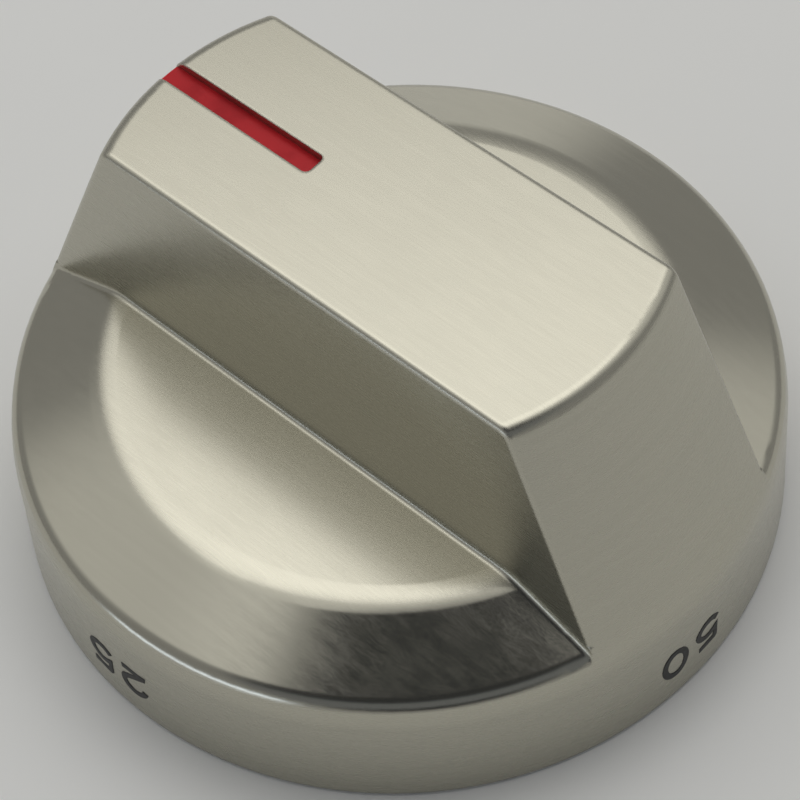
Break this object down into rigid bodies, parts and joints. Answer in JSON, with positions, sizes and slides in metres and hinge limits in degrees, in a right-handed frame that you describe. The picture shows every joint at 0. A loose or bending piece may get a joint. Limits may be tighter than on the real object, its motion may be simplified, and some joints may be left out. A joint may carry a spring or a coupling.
{
  "type": "stove knob",
  "caption": "Round satin metal stove knob: a grip bar across a scooped skirt, a red pointer line in the bar's top and a flatted stem socket with a spring leaf underneath.",
  "frame": {"origin": "centre of the rim, on the plane that faces the stove's panel", "axes": "+Z along the stem's axis, out of the panel; +Y towards the pointer end of the bar; the bar lies along Y"},
  "size_m": [0.0634, 0.0634, 0.0323],
  "materials": {
    "knob_body": "satin brushed plating on a die casting",
    "pointer_inlay": "red enamel filling",
    "shaft_clip": "rolled spring steel"
  },
  "bodies": {
    "root": {"knob_body": "knob_body", "pointer_inlay": "pointer_inlay", "shaft_clip": "shaft_clip"}
  },
  "joints": []
}
